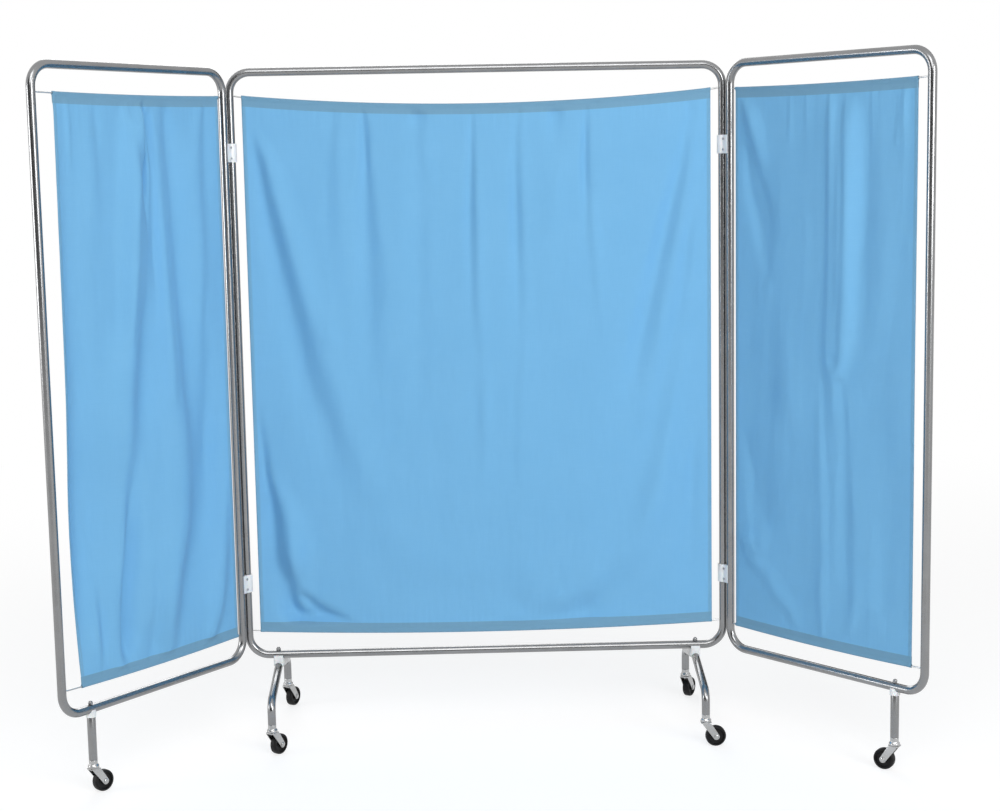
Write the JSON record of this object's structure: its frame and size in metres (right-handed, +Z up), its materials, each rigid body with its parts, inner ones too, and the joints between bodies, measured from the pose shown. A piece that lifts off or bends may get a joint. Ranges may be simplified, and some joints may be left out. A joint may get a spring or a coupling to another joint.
{
  "type": "ward privacy screen",
  "caption": "Folding ward privacy screen on castors: a wide centre panel and narrower side panels of bent steel tube, with light blue curtains gathered on wires.",
  "frame": {"origin": "on the floor, in the middle of the box round the screen as it stands with its side panels folded forward", "axes": "+X along the centre panel to the right as seen from the front, -Y towards the front, +Z up"},
  "size_m": [1.9724, 0.7546, 1.66],
  "materials": {
    "polished_steel": "polished stainless tube",
    "wire": "drawn steel wire",
    "plated_steel": "bright zinc plate",
    "curtain_cloth": "light blue plain weave",
    "white_plastic": "moulded satin white",
    "wheel_rubber": "black, slightly glossy"
  },
  "bodies": {
    "centre": {"centre_frame": "polished_steel", "centre_top_wire": "wire", "centre_bottom_wire": "wire", "centre_curtain": "curtain_cloth", "left_foot": "polished_steel", "left_foot_saddle": "white_plastic", "left_foot_bolt": "plated_steel", "left_foot_nut": "polished_steel", "left_front_stem": "plated_steel", "left_rear_stem": "plated_steel", "right_foot": "polished_steel", "right_foot_saddle": "white_plastic", "right_foot_bolt": "plated_steel", "right_foot_nut": "polished_steel", "right_front_stem": "plated_steel", "right_rear_stem": "plated_steel"},
    "left_panel": {"left_frame": "polished_steel", "left_top_wire": "wire", "left_bottom_wire": "wire", "left_curtain": "curtain_cloth", "left_leg": "polished_steel", "left_leg_saddle": "white_plastic", "left_leg_bolt": "plated_steel", "left_leg_nut": "polished_steel", "left_leg_stem": "plated_steel", "left_upper_clip": "white_plastic", "left_lower_clip": "white_plastic"},
    "right_panel": {"right_frame": "polished_steel", "right_top_wire": "wire", "right_bottom_wire": "wire", "right_curtain": "curtain_cloth", "right_leg": "polished_steel", "right_leg_saddle": "white_plastic", "right_leg_bolt": "plated_steel", "right_leg_nut": "polished_steel", "right_leg_stem": "plated_steel", "right_upper_clip": "white_plastic", "right_lower_clip": "white_plastic"},
    "left_leg_swivel": {"left_leg_fork": "plated_steel", "left_leg_axle": "plated_steel"},
    "left_leg_rolling": {"left_leg_wheel": "wheel_rubber"},
    "right_leg_swivel": {"right_leg_fork": "plated_steel", "right_leg_axle": "plated_steel"},
    "right_leg_rolling": {"right_leg_wheel": "wheel_rubber"},
    "left_front_swivel": {"left_front_fork": "plated_steel", "left_front_axle": "plated_steel"},
    "left_front_rolling": {"left_front_wheel": "wheel_rubber"},
    "left_rear_swivel": {"left_rear_fork": "plated_steel", "left_rear_axle": "plated_steel"},
    "left_rear_rolling": {"left_rear_wheel": "wheel_rubber"},
    "right_front_swivel": {"right_front_fork": "plated_steel", "right_front_axle": "plated_steel"},
    "right_front_rolling": {"right_front_wheel": "wheel_rubber"},
    "right_rear_swivel": {"right_rear_fork": "plated_steel", "right_rear_axle": "plated_steel"},
    "right_rear_rolling": {"right_rear_wheel": "wheel_rubber"}
  },
  "joints": [
    {"name": "left_fold", "type": "hinge", "parent": "centre", "child": "left_panel", "pos_m": [-0.61481, 0.1302, 0], "axis": [0, 0, 1], "range_deg": [-204, 96]},
    {"name": "right_fold", "type": "hinge", "parent": "centre", "child": "right_panel", "pos_m": [0.58519, 0.1302, 0], "axis": [0, 0, -1], "range_deg": [-200.5, 99.5]},
    {"name": "left_leg_swivel_turn", "type": "hinge", "parent": "left_panel", "child": "left_leg_swivel", "pos_m": [-0.9281, -0.301, 0], "axis": [0, 0, 1], "continuous": true},
    {"name": "left_leg_wheel_spin", "type": "hinge", "parent": "left_leg_swivel", "child": "left_leg_rolling", "pos_m": [-0.91173, -0.28345, 0.025], "axis": [-0.7314, 0.682, 0], "continuous": true},
    {"name": "right_leg_swivel_turn", "type": "hinge", "parent": "right_panel", "child": "right_leg_swivel", "pos_m": [0.92422, -0.28107, 0], "axis": [0, 0, 1], "continuous": true},
    {"name": "right_leg_wheel_spin", "type": "hinge", "parent": "right_leg_swivel", "child": "right_leg_rolling", "pos_m": [0.90456, -0.26731, 0.025], "axis": [-0.5736, -0.8192, 0], "continuous": true},
    {"name": "left_front_swivel_turn", "type": "hinge", "parent": "centre", "child": "left_front_swivel", "pos_m": [-0.54281, -0.0698, 0], "axis": [0, 0, 1], "continuous": true},
    {"name": "left_front_wheel_spin", "type": "hinge", "parent": "left_front_swivel", "child": "left_front_rolling", "pos_m": [-0.52974, -0.04967, 0.025], "axis": [-0.8387, 0.5446, 0], "continuous": true},
    {"name": "left_rear_swivel_turn", "type": "hinge", "parent": "centre", "child": "left_rear_swivel", "pos_m": [-0.54281, 0.3302, 0], "axis": [0, 0, 1], "continuous": true},
    {"name": "left_rear_wheel_spin", "type": "hinge", "parent": "left_rear_swivel", "child": "left_rear_rolling", "pos_m": [-0.53267, 0.35196, 0.025], "axis": [-0.9063, 0.4226, 0], "continuous": true},
    {"name": "right_front_swivel_turn", "type": "hinge", "parent": "centre", "child": "right_front_swivel", "pos_m": [0.51319, -0.0698, 0], "axis": [0, 0, 1], "continuous": true},
    {"name": "right_front_wheel_spin", "type": "hinge", "parent": "right_front_swivel", "child": "right_front_rolling", "pos_m": [0.53716, -0.06854, 0.025], "axis": [-0.0523, 0.9986, 0], "continuous": true},
    {"name": "right_rear_swivel_turn", "type": "hinge", "parent": "centre", "child": "right_rear_swivel", "pos_m": [0.51319, 0.3302, 0], "axis": [0, 0, 1], "continuous": true},
    {"name": "right_rear_wheel_spin", "type": "hinge", "parent": "right_rear_swivel", "child": "right_rear_rolling", "pos_m": [0.52519, 0.35099, 0.025], "axis": [-0.866, 0.5, 0], "continuous": true}
  ]
}
